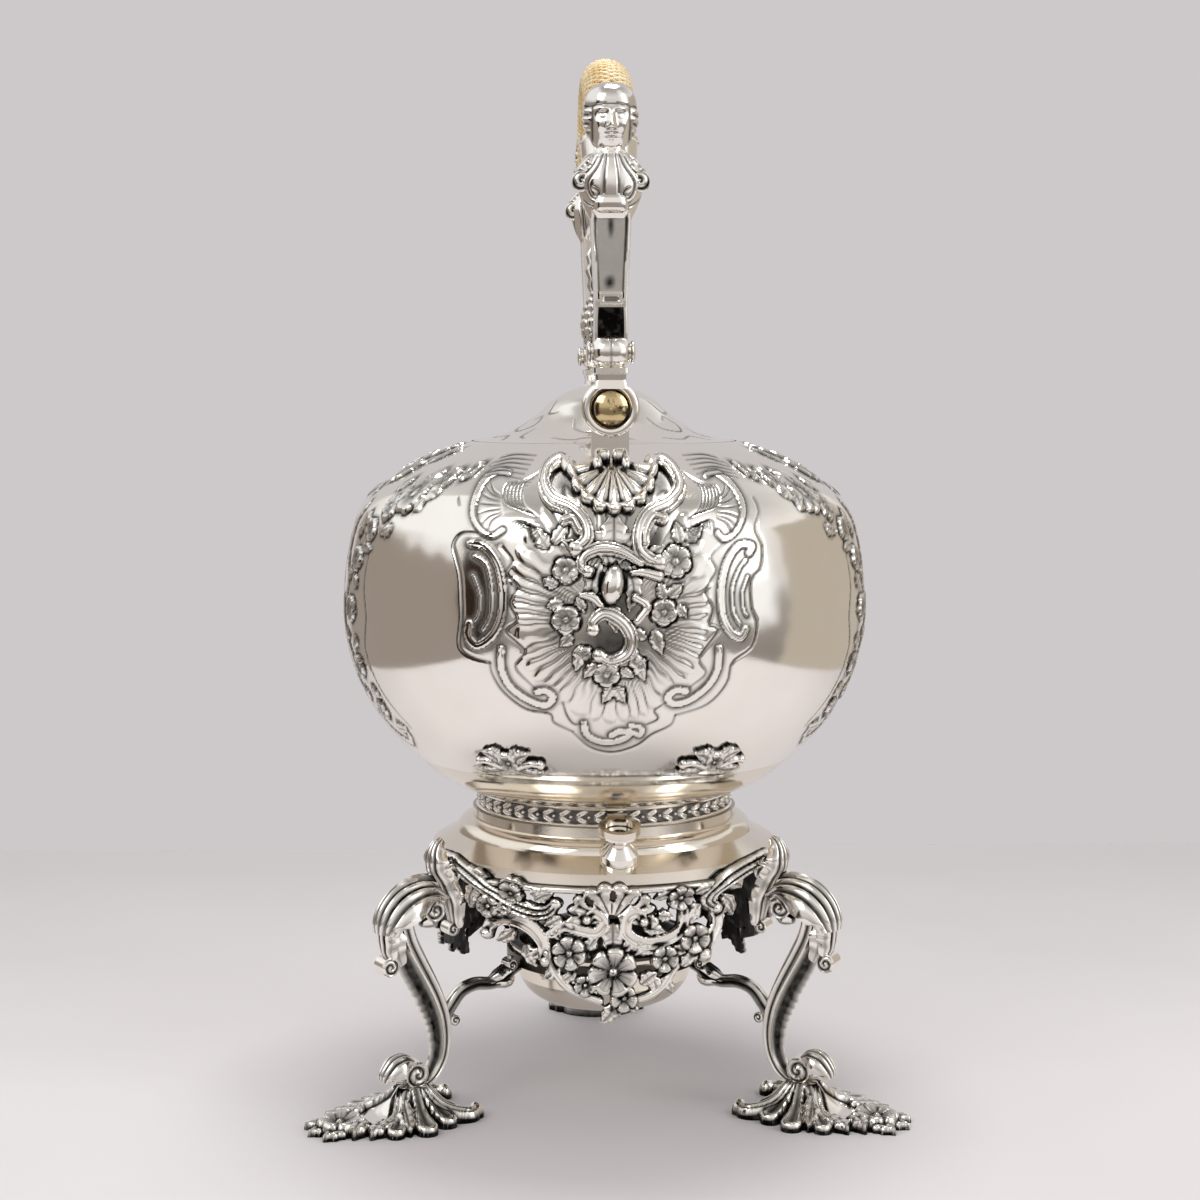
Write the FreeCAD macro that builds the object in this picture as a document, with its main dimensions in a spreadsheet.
"""Tea kettle with a swinging bail, on a three-legged stand that holds a spirit lamp.

Millimetres, +Z up. The origin is on the kettle's axis at the table, and -Y is the side
away from the spout. The kettle, its lid and its bail count their heights from the seat
on the stand, and the lamp counts its own from the ring that carries it.
"""
import FreeCAD
import Part
import Sketcher
import math
import os
import types

V = FreeCAD.Vector
LEFT = 1
RIGHT = -1
UP = V(0, 0, 1)
ORIGIN = V(0, 0, 0)

SIZES = {
    # fits: soldered seats, faces that pass each other, pins that turn
    "solder_gap": 0.06,
    "moving_gap": 0.35,
    "pin_clearance": 0.05,
    # stand collar, heights above its lower edge
    "collar_base": 85.2,
    "collar_rise": 17.3,
    "collar_wall": 1.8,
    "collar_band_radius": 62.2,
    "flange_radius": 63.0,
    "flange_height": 4.4,
    "flange_edge": 1.0,
    "seat_inner_radius": 42.0,
    "seat_outer_radius": 48.5,
    "seat_lip": 3.3,
    "collar_roll_radius": 54.5,
    "collar_roll_height": 9.0,
    "collar_roll_arc": 6.5,
    # locking pin sockets on the collar and the eyes over them
    "socket_reach": 54.5,
    "socket_foot_height": 9.8,
    "socket_tilt": 14.0,
    "socket_height": 8.0,
    "socket_base_radius": 6.8,
    "socket_waist_radius": 3.7,
    "socket_rim_radius": 6.8,
    "socket_bore_radius": 2.4,
    "socket_turn": 3.5,
    "pin_way_gap": 0.3,
    "eye_outer_radius": 7.4,
    "eye_hole_radius": 5.2,
    "eye_thickness": 2.3,
    "eye_tongue_width": 7.0,
    # pierced aprons between the legs
    "apron_inner_radius": 60.2,
    "apron_plate": 2.2,
    "apron_flower_relief": 2.0,
    "shell_fan_radius": 16.5,
    "apron_scroll_width": 4.2,
    # legs, reach measured from the axis
    "bracket_width": 11.0,
    "bracket_outer": 70.0,
    "bracket_tip_reach": 69.5,
    "bracket_tip_rise": 10.8,
    "bracket_drop": 21.0,
    "leg_start_drop": 5.5,
    "knee_reach": 90.0,
    "knee_drop": 14.5,
    "knee_top_drop": 4.0,
    "calf_reach": 77.0,
    "calf_height": 45.0,
    "waist_reach": 69.3,
    "waist_height": 28.0,
    "ankle_reach": 82.0,
    "leg_width": 8.0,
    "leg_depth": 9.6,
    "knee_shell_width": 19.0,
    "knee_shell_arc": 14.5,
    "volute_radius": 4.6,
    "leaf_volute_radius": 3.4,
    # cast feet
    "foot_plate": 2.2,
    "foot_top_height": 10.5,
    "foot_top_radius": 5.2,
    "foot_inner_reach": 60.0,
    "foot_outer_reach": 120.0,
    "foot_half_width": 20.0,
    "foot_flower_radius": 8.0,
    # arms and ring that carry the lamp
    "arm_height": 36.4,
    "arm_radius": 2.5,
    "lamp_ring_height": 50.5,
    "lamp_ring_outer": 36.0,
    "lamp_ring_inner": 32.6,
    "lamp_ring_depth": 4.2,
    # spirit lamp, heights from the ring's top
    "lamp_radius": 31.5,
    "lamp_depth": 19.5,
    "lamp_bottom_radius": 20.0,
    "lamp_bottom_arc": 14.0,
    "lamp_wall": 1.1,
    "lamp_flange": 35.0,
    "lamp_flange_edge": 1.4,
    "lamp_cover_rise": 8.0,
    "burner_radius": 8.0,
    "burner_height": 23.5,
    "burner_flange": 12.0,
    "burner_wall": 1.0,
    "wick_rise": 2.5,
    # kettle body, heights above the seat
    "body_radius": 96.1,
    "belly_height": 75.5,
    "floor_height": 20.5,
    "bowl_arc": 72.0,
    "belly_arc": 112.0,
    "shoulder_arc": 24.0,
    "crown_arc": 126.8,
    "shoulder_start": 15.0,
    "shoulder_end": 56.0,
    "body_wall": 1.2,
    "mouth_radius": 42.0,
    "ledge_radius": 49.1,
    "ledge_depth": 2.0,
    "strainer_hole_radius": 2.2,
    "strainer_pitch": 6.4,
    # kettle foot
    "laurel_inner": 43.2,
    "laurel_radius": 46.4,
    "laurel_height": 6.9,
    "laurel_rim": 1.1,
    "laurel_recess": 1.0,
    "husk_count": 48,
    "husk_height": 4.4,
    "husk_relief": 1.1,
    "molding_inset": 1.0,
    "molding_foot_radius": 47.6,
    "molding_arc": 42.0,
    "molding_wall": 2.6,
    # cast mounts on the body
    "mount_relief": 2.4,
    "mount_turn": 26.0,
    "mount_height": 24.0,
    "escutcheon_relief": 2.6,
    "chasing_relief": 0.9,
    "chasing_hub": 78.5,
    "flute_inner": 25.0,
    "flute_outer": 31.0,
    "flute_width": 2.8,
    "escutcheon_top": 126.0,
    "escutcheon_fan": 14.5,
    "escutcheon_length": 64.0,
    # spout
    "spout_root_height": 47.0,
    "spout_root_radius": 16.0,
    "spout_tip_reach": 149.0,
    "spout_tip_height": 143.0,
    "spout_tip_radius": 7.6,
    "spout_wall": 1.3,
    # bail lugs and pins
    "pivot_height": 146.9,
    "lug_reach": 58.0,
    "lug_width": 13.0,
    "lug_thickness": 6.0,
    "pin_radius": 2.5,
    "pin_head_radius": 5.8,
    "pin_head_rise": 2.8,
    "pin_tail_radius": 4.2,
    "pin_tail_height": 1.6,
    # lid
    "lid_wall": 1.1,
    "lid_gap": 0.6,
    "lid_rim": 1.7,
    "lid_bend_radius": 22.0,
    "lid_bend_rise": 12.3,
    "lid_foot_arc": 42.7,
    "lid_dome_arc": 29.8,
    "lid_crest_radius": 6.0,
    "lid_crest_rise": 20.6,
    "bezel_gap": 1.0,
    "bezel_depth": 7.0,
    "bezel_wall": 1.0,
    # lid hinge
    "hinge_setback": 2.4,
    "hinge_rise": 1.5,
    "knuckle_radius": 1.9,
    "knuckle_length": 5.0,
    "side_knuckle_length": 3.0,
    "hinge_pin_radius": 0.8,
    "hinge_leaf": 4.6,
    # finial
    "stud_radius": 1.9,
    "finial_foot_radius": 4.6,
    "finial_neck_radius": 2.6,
    "finial_neck_height": 12.7,
    "bud_radius": 9.3,
    "bud_height": 24.0,
    "nut_radius": 4.4,
    "nut_height": 2.2,
    # bail arms, heights above the pivot
    "boss_radius": 9.3,
    "boss_thickness": 5.0,
    "arm_collar_width": 11.7,
    "arm_collar_top": 13.1,
    "bead_width": 17.0,
    "bead_top": 24.1,
    "scroll_top": 34.6,
    "scroll_width": 9.0,
    "pillar_foot_width": 11.5,
    "pillar_head_width": 14.3,
    "pillar_top": 65.6,
    "pillar_depth": 9.0,
    "pillar_panel": 0.9,
    "bust_width": 24.4,
    "bust_top": 87.6,
    "head_width": 18.6,
    "head_height": 24.5,
    "ear_radius": 3.5,
    # bail grip, a cane wrapped rod on a three-centred arch
    "grip_span": 50.0,
    "grip_crest": 265.5,
    "grip_end_arc": 32.0,
    "grip_end_angle": 75.0,
    "grip_crest_angle": 15.0,
    "cane_radius": 9.2,
    "core_radius": 6.0,
    "ferrule_length": 7.0,
    "ferrule_wall": 1.3,
}

# leg and apron directions about the axis, in degrees
LEG_TURNS = {"rear_left": 210, "rear_right": 330, "front": 90}
APRON_TURNS = {"rear": 0, "right": 120, "left": 240}
SIDE_TURNS = {"rear": 0, "front": 180}


class Size:
    """A number together with the sheet expression that gives it."""

    def __init__(self, value, text):
        self.value = float(value)
        self.text = text

    def __float__(self):
        return self.value

    def __add__(self, other):
        return Size(self.value + float(other), f"({self.text} + {words(other)})")

    def __sub__(self, other):
        return Size(self.value - float(other), f"({self.text} - {words(other)})")

    def __mul__(self, other):
        return Size(self.value * float(other), f"({self.text} * {words(other)})")

    def __truediv__(self, other):
        return Size(self.value / float(other), f"({self.text} / {words(other)})")

    def __neg__(self):
        return Size(-self.value, f"(-1 * {self.text})")


def words(number):
    """The expression text of a size or of a plain number."""
    if isinstance(number, Size):
        return number.text
    return repr(float(number))


def cap_radius(half_width, rise):
    """Radius of the ball that a round top of this width and rise is cut from."""
    return (half_width * half_width + rise * rise) / (rise * 2)


def root(square):
    """The square root of a size."""
    return Size(math.sqrt(square.value), f"sqrt({square.text})")


def cosine(angle):
    """The cosine of a size in degrees."""
    return Size(math.cos(math.radians(angle.value)), f"cos({angle.text} * 1 deg)")


def sine(angle):
    """The sine of a size in degrees."""
    return Size(math.sin(math.radians(angle.value)), f"sin({angle.text} * 1 deg)")


class Sheet:
    """The document's spreadsheet, whose cells are read by alias as sizes."""

    def __init__(self, document):
        self.cells = document.addObject("Spreadsheet::Sheet", "sizes")
        for row, (alias, number) in enumerate(SIZES.items(), start=1):
            self.cells.set(f"A{row}", alias)
            self.cells.set(f"B{row}", str(number))
            self.cells.setAlias(f"B{row}", alias)
        document.recompute()

    def __getattr__(self, alias):
        return Size(self.cells.get(alias), f"sizes.{alias}")


doc = FreeCAD.newDocument("kettle_on_stand")
size = Sheet(doc)
mm = types.SimpleNamespace(**{alias: float(size.cells.get(alias)) for alias in SIZES})
seat = size.collar_base + size.collar_rise
NODES = []


def keep(node):
    """Put a document object on the list of sub-parts that are written out."""
    NODES.append(node)
    return node


def polar(angle, radius):
    """A point of the XZ plane at an angle in degrees."""
    turn = math.radians(angle)
    return V(radius * math.cos(turn), 0, radius * math.sin(turn))


def arc_centre(here, there, radius, turn):
    """Centre of the short arc that turns left or right from one point to the next."""
    chord = there - here
    half = chord.Length / 2
    side = V(-chord.y, chord.x, 0)
    side.normalize()
    return (here + there) * 0.5 + side * (turn * math.sqrt(max(radius * radius - half * half, 0)))


def arc_between(here, there, radius, turn):
    """A sketch arc from one corner to the next."""
    centre = arc_centre(here, there, radius, turn)
    first, last = (here, there) if turn == LEFT else (there, here)
    start = math.atan2(first.y - centre.y, first.x - centre.x)
    end = math.atan2(last.y - centre.y, last.x - centre.x)
    if end < start:
        end += 2 * math.pi
    return Part.ArcOfCircle(Part.Circle(centre, UP, radius), start, end)


def bound(sketch, constraint, value):
    """Add a constraint and tie it to the sheet where its value is a size."""
    index = sketch.addConstraint(constraint)
    if isinstance(value, Size):
        sketch.setExpression(f"Constraints[{index}]", value.text)


def place_point(sketch, geometry, point, across, along):
    """Tie a sketch point to its two coordinates."""
    for kind, axis, value in (("DistanceX", -2, across), ("DistanceY", -1, along)):
        if isinstance(value, Size) or value:
            constraint = Sketcher.Constraint(kind, -1, 1, geometry, point, float(value))
            bound(sketch, constraint, value)
        else:
            sketch.addConstraint(Sketcher.Constraint("PointOnObject", geometry, point, axis))


def blank_sketch(body, name, role, offset=None):
    """A sketch on one of the body's own origin planes."""
    sketch = body.newObject("Sketcher::SketchObject", name)
    plane = next(item for item in body.Origin.OriginFeatures if item.Role == role)
    sketch.AttachmentSupport = [(plane, "")]
    sketch.MapMode = "FlatFace"
    if offset is not None:
        sketch.setExpression("AttachmentOffset.Base.z", offset.text)
    return sketch


def add_circles(sketch, circles):
    """Circles given as across, along, radius."""
    for across, along, radius in circles:
        centre = V(float(across), float(along), 0)
        index = sketch.addGeometry(Part.Circle(centre, UP, float(radius)), False)
        place_point(sketch, index, 3, across, along)
        bound(sketch, Sketcher.Constraint("Radius", index, float(radius)), radius)


def outline(body, name, role, corners, holes=(), offset=None):
    """A closed sketch of corners (x, y), or (x, y, radius, turn) where an arc starts."""
    sketch = blank_sketch(body, name, role, offset)
    points = [V(float(corner[0]), float(corner[1]), 0) for corner in corners]
    starts = []
    for index, corner in enumerate(corners):
        there = points[(index + 1) % len(points)]
        if len(corner) == 2:
            sketch.addGeometry(Part.LineSegment(points[index], there), False)
            starts.append(1)
        else:
            arc = arc_between(points[index], there, float(corner[2]), corner[3])
            sketch.addGeometry(arc, False)
            starts.append(1 if corner[3] == LEFT else 2)
    for index, corner in enumerate(corners):
        after = (index + 1) % len(corners)
        joint = Sketcher.Constraint("Coincident", index, 3 - starts[index], after, starts[after])
        sketch.addConstraint(joint)
        place_point(sketch, index, starts[index], corner[0], corner[1])
        if len(corner) > 2:
            bound(sketch, Sketcher.Constraint("Radius", index, float(corner[2])), corner[2])
    add_circles(sketch, holes)
    return sketch


def drawn(corners):
    """The same kind of outline as a face in the XZ plane."""
    points = [V(float(corner[0]), float(corner[1]), 0) for corner in corners]
    edges = []
    for index, corner in enumerate(corners):
        here = points[index]
        there = points[(index + 1) % len(points)]
        ends = [V(here.x, 0, here.y), V(there.x, 0, there.y)]
        if len(corner) == 2:
            edges.append(Part.LineSegment(*ends).toShape())
        else:
            radius = float(corner[2])
            centre = arc_centre(here, there, radius, corner[3])
            bulge = (here + there) * 0.5 - centre
            bulge.normalize()
            middle = centre + bulge * radius
            edges.append(Part.Arc(ends[0], V(middle.x, 0, middle.y), ends[1]).toShape())
    return Part.Face(Part.Wire(edges))


def turned(label, corners, lift=None):
    """A body turned about the vertical axis."""
    body = doc.addObject("PartDesign::Body", label)
    profile = outline(body, label + "_profile", "XZ_Plane", corners)
    turn = body.newObject("PartDesign::Revolution", label + "_turn")
    turn.Profile = profile
    turn.ReferenceAxis = (profile, ["V_Axis"])
    turn.Angle = 360
    if lift is not None:
        body.setExpression("Placement.Base.z", lift.text)
    return body


def made(label, shape, turn=0, lift=None):
    """A sub-part whose shape is worked out here, turned about the axis and lifted."""
    node = doc.addObject("Part::Feature", label)
    node.Shape = shape
    node.Placement = FreeCAD.Placement(ORIGIN, FreeCAD.Rotation(UP, turn))
    if lift is not None:
        node.setExpression("Placement.Base.z", lift.text)
    return keep(node)


def one_solid(shape):
    """The largest solid of a shape, with its split faces joined again."""
    return max(shape.removeSplitter().Solids, key=lambda solid: solid.Volume)


# ornament drawn in the XZ plane and carried through the wall it lies on

def slab(wire):
    """A wire of the XZ plane carried towards -Y, past every wall."""
    return Part.Face(wire).extrude(V(0, -2 * mm.body_radius, 0))


def disc(x, z, radius):
    """A round patch."""
    return slab(Part.Wire(Part.Circle(V(x, 0, z), V(0, 1, 0), radius).toShape()))


def lens(start, end, width, bow=0.0):
    """A leaf from one point to another, bowed sideways."""
    first = V(start[0], 0, start[1])
    last = V(end[0], 0, end[1])
    run = last - first
    side = V(-run.z, 0, run.x)
    side.normalize()
    middle = (first + last) * 0.5 + side * bow
    upper = Part.Arc(first, middle + side * (width / 2), last).toShape()
    lower = Part.Arc(last, middle - side * (width / 2), first).toShape()
    return slab(Part.Wire([upper, lower]))


def c_scroll(start, end, bow, width):
    """A bowed scroll with a round volute at each end."""
    eye = 0.62 * width
    return [lens(start, end, width, bow), disc(*start, eye), disc(*end, eye)]


def flower(x, z, radius, petals=5):
    """An open flower of round petals."""
    shapes = [disc(x, z, 0.5 * radius)]
    for index in range(petals):
        spot = polar(90 + index * 360 / petals, 0.6 * radius)
        shapes.append(disc(x + spot.x, z + spot.z, 0.42 * radius))
    return shapes


def fan(x, z, radius, start, end, lobes):
    """A scallop shell of tapering flutes that end in round lobes."""
    step = (end - start) / lobes
    lobe = 0.5 * radius * math.sin(math.radians(step))
    shapes = [disc(x, z, 0.32 * radius)]
    for index in range(lobes):
        angle = start + (index + 0.5) * step
        spot = polar(angle, radius - lobe)
        shapes.append(disc(x + spot.x, z + spot.z, 1.12 * lobe))
        sides = [polar(angle + turn * step * 0.55, radius - lobe) for turn in (-1, 1)]
        corners = [(x, z)] + [(x + side.x, z + side.z) for side in sides]
        shapes.append(slab(drawn(corners).OuterWire))
    return shapes


def joined(shapes):
    """Several solids as one."""
    return shapes[0].fuse(shapes[1:])


# stand

def stand_collar():
    """Spun collar: kettle seat, rolled shoulder, flange and plain band."""
    wall = size.collar_wall
    top = size.collar_rise
    lip = top - size.seat_lip
    inner_band = size.collar_band_radius - wall
    inner_seat = size.seat_outer_radius - wall
    roll = (size.collar_roll_radius - wall, size.collar_roll_height - wall)
    under = size.flange_height - size.flange_edge
    corners = [
        (size.seat_inner_radius, top),
        (size.seat_outer_radius, top),
        (size.seat_outer_radius, lip, size.collar_roll_arc, RIGHT),
        (size.collar_roll_radius, size.collar_roll_height),
        (size.flange_radius, size.flange_height),
        (size.flange_radius, under),
        (size.collar_band_radius, under),
        (size.collar_band_radius, 0),
        (inner_band, 0),
        (inner_band, size.flange_height - wall),
        (*roll, size.collar_roll_arc, LEFT),
        (inner_seat, lip),
        (inner_seat, top - wall),
        (size.seat_inner_radius, top - wall),
    ]
    cut = doc.addObject("Part::Cut", "stand_collar")
    cut.Base = turned("collar_blank", corners, size.collar_base)
    cut.Tool = pin_ways()
    return keep(cut)


def pin_ways():
    """Holes in the collar that the locking pins pass through, under their sockets."""
    tall = mm.socket_height * 2
    reach = tall + mm.socket_height
    way = Part.makeCylinder(mm.socket_bore_radius + mm.pin_way_gap, reach, V(0, 0, -tall))
    holes = []
    for turn in SIDE_TURNS.values():
        hole = way.copy()
        hole.Placement = socket_frame(turn)
        holes.append(hole)
    ways = doc.addObject("Part::Feature", "pin_ways")
    ways.Shape = Part.makeCompound(holes)
    return ways


def socket_frame(turn):
    """Place of a locking pin socket: its foot on the collar, its axis leaning out."""
    turn = turn + mm.socket_turn
    lean = FreeCAD.Placement(
        V(0, -mm.socket_reach, mm.collar_base + mm.socket_foot_height),
        FreeCAD.Rotation(V(1, 0, 0), mm.socket_tilt),
    )
    return FreeCAD.Placement(ORIGIN, FreeCAD.Rotation(UP, turn)).multiply(lean)


def pin_sockets():
    """Turned spool sockets that stand on the collar, front and rear."""
    top = size.socket_height
    waist = (size.socket_waist_radius, top * 0.5)
    base = size.socket_base_radius
    bore = size.socket_bore_radius
    corners = [
        (bore, -top * 0.8),
        (base, -top * 0.8),
        (base, top * 0.06),
        (*waist, size.socket_rim_radius, RIGHT),
        (size.socket_rim_radius, top * 0.9),
        (size.socket_rim_radius, top),
        (bore, top),
    ]
    blocker = collar_blocker(mm.solder_gap)
    for side, turn in SIDE_TURNS.items():
        blank = turned(f"socket_blank_{side}", corners)
        blank.Placement = socket_frame(turn)
        cut = doc.addObject("Part::Cut", f"pin_socket_{side}")
        cut.Base = blank
        cut.Tool = blocker
        keep(cut)


def collar_blocker(gap):
    """The collar's outer form filled in, a little larger, to fit what stands on it."""
    base = mm.collar_base
    corners = [
        (0, base),
        (mm.flange_radius + gap, base),
        (mm.flange_radius + gap, base + mm.flange_height + gap),
        (mm.collar_roll_radius + gap, base + mm.collar_roll_height + gap,
         mm.collar_roll_arc + gap, LEFT),
        (mm.seat_outer_radius + gap, base + mm.collar_rise - mm.seat_lip + gap),
        (mm.seat_outer_radius + gap, base + mm.collar_rise + gap),
        (0, base + mm.collar_rise + gap),
    ]
    blocker = doc.addObject("Part::Feature", "collar_blocker")
    blocker.Shape = drawn(corners).revolve(ORIGIN, UP, 360)
    return blocker


# one apron, seen from outside: across from its centre, below the collar's edge
APRON_FLOWERS = (
    (1.0, -29.0, 8.6), (-13.5, -23.0, 5.8), (-8.6, -34.0, 4.6), (5.5, -38.5, 5.0),
    (18.5, -25.0, 4.4), (28.5, -20.0, 5.0), (25.5, -5.5, 4.2), (-39.5, -9.5, 3.8),
)
APRON_SCROLLS = (
    ((-44.0, -1.5), (-20.0, -11.5), -4.5), ((-43.0, -16.5), (-17.0, -19.5), 4.0),
    ((-9.0, -13.5), (-15.5, -24.0), 3.0), ((9.5, -13.5), (21.0, -21.5), -4.0),
    ((33.5, -2.0), (29.5, -18.0), 5.0), ((44.0, -2.0), (34.0, -13.0), 4.0),
    ((19.0, -4.0), (9.5, -13.0), 2.5), ((12.0, -34.0), (19.0, -25.5), -3.0),
)
APRON_LEAVES = (
    ((-3.0, -36.0), (-5.5, -46.0), 4.6), ((4.0, -40.0), (2.5, -46.0), 4.0),
    ((-13.0, -26.0), (-20.0, -33.0), 4.6), ((10.0, -38.0), (16.0, -42.0), 4.0),
    ((0.0, -14.0), (1.0, -26.0), 7.0), ((-41.0, -2.0), (-40.0, -17.0), 3.6),
    ((22.0, -24.0), (31.0, -28.0), 4.0), ((-24.0, -10.0), (-20.0, -20.0), 3.4),
)


def apron_shape():
    """Openwork apron: a fan shell, scrolls, leaves and a spray of flowers."""
    base = mm.collar_base
    width = mm.apron_scroll_width
    flat = fan(0, base - 15.5, mm.shell_fan_radius, 8, 172, 7)
    for start, end, bow in APRON_SCROLLS:
        flat += c_scroll((start[0], base + start[1]), (end[0], base + end[1]), bow, width)
    for start, end, breadth in APRON_LEAVES:
        flat.append(lens((start[0], base + start[1]), (end[0], base + end[1]), breadth))
    raised = []
    for x, drop, radius in APRON_FLOWERS:
        raised += flower(x, base + drop, radius)
    inner = mm.apron_inner_radius
    plate = inner + mm.apron_plate
    low = base - mm.shell_fan_radius * 3
    tall = base - mm.solder_gap - low
    hollow = Part.makeCylinder(inner, tall, V(0, 0, low))
    skin = Part.makeCylinder(plate, tall, V(0, 0, low)).cut(hollow)
    thick = Part.makeCylinder(plate + mm.apron_flower_relief, tall, V(0, 0, low)).cut(hollow)
    return one_solid(joined(flat).common(skin).fuse(joined(raised).common(thick)))


def aprons():
    """Three aprons, one between each two legs."""
    shape = apron_shape()
    for side, turn in APRON_TURNS.items():
        made(f"apron_{side}", shape, turn)


def across(corners, width):
    """An outline of reach and height carried sideways, half to each side of the leg."""
    return drawn(corners).extrude(V(0, width, 0)).translated(V(0, -width / 2, 0))


def leg_brackets():
    """Leaf brackets that clasp the collar's edge and carry the legs."""
    base = mm.collar_base
    inner = mm.flange_radius + mm.solder_gap
    tip = base + mm.bracket_tip_rise
    outer = mm.bracket_outer
    foot = base - mm.bracket_drop
    curl = (mm.bracket_tip_reach - inner) * 0.62
    corners = [
        (inner, foot),
        (outer, foot + mm.bracket_drop * 0.4),
        (outer, base),
        (inner + 2.4, base + mm.flange_height, curl, RIGHT),
        (mm.bracket_tip_reach, tip - 2.2, curl, LEFT),
        (inner + 3.0, tip, curl * 1.6, LEFT),
        (inner, base + mm.flange_height),
    ]
    plate = across(corners, mm.bracket_width)
    roll = Part.makeCylinder(2.0, mm.bracket_width, V(outer - 2.5, -mm.bracket_width / 2, base), V(0, 1, 0))
    shape = one_solid(plate.fuse(roll))
    for side, turn in LEG_TURNS.items():
        made(f"leg_bracket_{side}", shape, turn)


def leg_section(reach, height, heading, depth, width):
    """A ridged six-sided section square to the leg's line, its ridge on the outside."""
    turn = math.radians(heading)
    out = V(-math.sin(turn), 0, math.cos(turn))
    side = V(0, 1, 0)
    centre = V(reach, 0, height)
    spots = [
        (0.62, 0.0), (0.30, 0.5), (-0.36, 0.42), (-0.5, 0.0), (-0.36, -0.42), (0.30, -0.5),
    ]
    points = [centre + out * (depth * a) + side * (width * b) for a, b in spots]
    return Part.makePolygon(points + points[:1])


def part_way(first, last, share):
    """A stop on the smooth line between two stops of reach, height, heading, depth, width."""
    here = V(first[0], 0, first[1])
    there = V(last[0], 0, last[1])
    run = (there - here).Length
    leave = polar(first[2], run)
    arrive = polar(last[2], run)
    s = share
    spot = here * (2 * s ** 3 - 3 * s ** 2 + 1) + leave * (s ** 3 - 2 * s ** 2 + s)
    spot = spot + there * (3 * s ** 2 - 2 * s ** 3) + arrive * (s ** 3 - s ** 2)
    ahead = here * (6 * s ** 2 - 6 * s) + leave * (3 * s ** 2 - 4 * s + 1)
    ahead = ahead + there * (6 * s - 6 * s ** 2) + arrive * (3 * s ** 2 - 2 * s)
    heading = math.degrees(math.atan2(ahead.z, ahead.x))
    rest = [a + (b - a) * s for a, b in zip(first[3:], last[3:])]
    return (spot.x, spot.z, heading, *rest)


def smooth_line(stops, steps):
    """Stops with further ones put between them along the smooth line."""
    line = []
    for first, last in zip(stops, stops[1:]):
        line += [part_way(first, last, step / steps) for step in range(steps)]
    return line + [stops[-1]]


def lobed_section(centre, out, width, lobes, root_depth):
    """A scalloped section of the knee's shell."""
    side = V(0, 1, 0)
    step = width / lobes
    edges = []
    left = centre - side * (width / 2)
    for index in range(lobes):
        first = left + side * (index * step)
        last = first + side * step
        edges.append(Part.Arc(first, (first + last) * 0.5 + out * (step * 0.36), last).toShape())
    ends = [left + side * width, left + side * width - out * root_depth, left - out * root_depth, left]
    for first, last in zip(ends, ends[1:]):
        edges.append(Part.LineSegment(first, last).toShape())
    return Part.Wire(edges)


def leg_shape():
    """Cast leg: S-shaped ridged bar, knee shell, hanging leaf and volutes."""
    base = mm.collar_base
    depth = mm.leg_depth
    width = mm.leg_width
    knee = base - mm.knee_drop
    start = mm.bracket_outer + mm.solder_gap
    mid_reach = (start + mm.knee_reach) / 2
    foot = mm.foot_top_height
    stops = (
        (start, base - mm.leg_start_drop, 20, depth, width),
        (mid_reach, base - mm.knee_top_drop, -14, depth, width),
        (mm.knee_reach, knee, -92, depth * 0.95, width),
        (mm.calf_reach, mm.calf_height, -121, depth * 0.72, width * 0.85),
        (mm.waist_reach, mm.waist_height, -98, depth * 0.6, width * 0.75),
        (mm.ankle_reach, foot + 2.4, 0, depth * 0.45, width * 0.9),
    )
    bar = Part.makeLoft([leg_section(*stop) for stop in smooth_line(stops, 3)], True, False)
    hub = V(mm.knee_reach - mm.knee_shell_arc + 0.5, 0, knee - 1.0)
    shares = ((122, 0.42), (88, 0.8), (52, 1.0), (16, 0.92), (-16, 0.5))
    lobed = []
    for angle, share in shares:
        out = polar(angle, 1.0)
        spot = hub + out * (mm.knee_shell_arc + 1.6)
        lobed.append(lobed_section(spot, out, mm.knee_shell_width * share, 5, 5.0))
    shell = Part.makeLoft(lobed, True, False)
    pieces = [shell]
    # volutes behind the knee and on the ankle, the leaf's end and the pad under the ankle
    volute = mm.volute_radius
    pieces.append(cross_pin(hub.x - 4.2, hub.z - 0.5, volute, width * 1.25))
    pieces.append(cross_pin(mm.ankle_reach - 1.0, foot + 2.4 + volute, volute, width * 1.15))
    leaf_end = (mm.knee_reach + 0.8, knee - 17.0)
    pieces.append(cross_pin(*leaf_end, mm.leaf_volute_radius, width * 0.9))
    leaf = [
        (mm.knee_reach + 4.4, knee, 40.0, RIGHT),
        (leaf_end[0] + mm.leaf_volute_radius, leaf_end[1]),
        (leaf_end[0] - 1.0, leaf_end[1], 34.0, LEFT),
        (mm.knee_reach, knee),
    ]
    pieces.append(across(leaf, width * 0.8))
    pieces.append(Part.makeCylinder(mm.foot_top_radius * 0.85, 4.0, V(mm.ankle_reach, 0, foot)))
    room = Part.makeBox(start, 60, 60, V(0, -30, base - mm.bracket_drop - mm.solder_gap))
    return one_solid(bar.fuse(pieces).cut(room))


def cross_pin(reach, height, radius, width):
    """A short roll that lies across the leg."""
    return Part.makeCylinder(radius, width, V(reach, -width / 2, height), V(0, 1, 0))


# a foot's lobes: share of its length, share of its half width, share of its half width
FOOT_LOBES = (
    (0.06, 0.0, 0.26), (0.18, 0.52, 0.30), (0.36, 0.74, 0.30), (0.56, 0.66, 0.34),
    (0.74, 0.46, 0.30), (0.90, 0.0, 0.30), (0.84, 0.26, 0.24), (0.30, 0.0, 0.60), (0.60, 0.0, 0.56),
)


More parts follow.
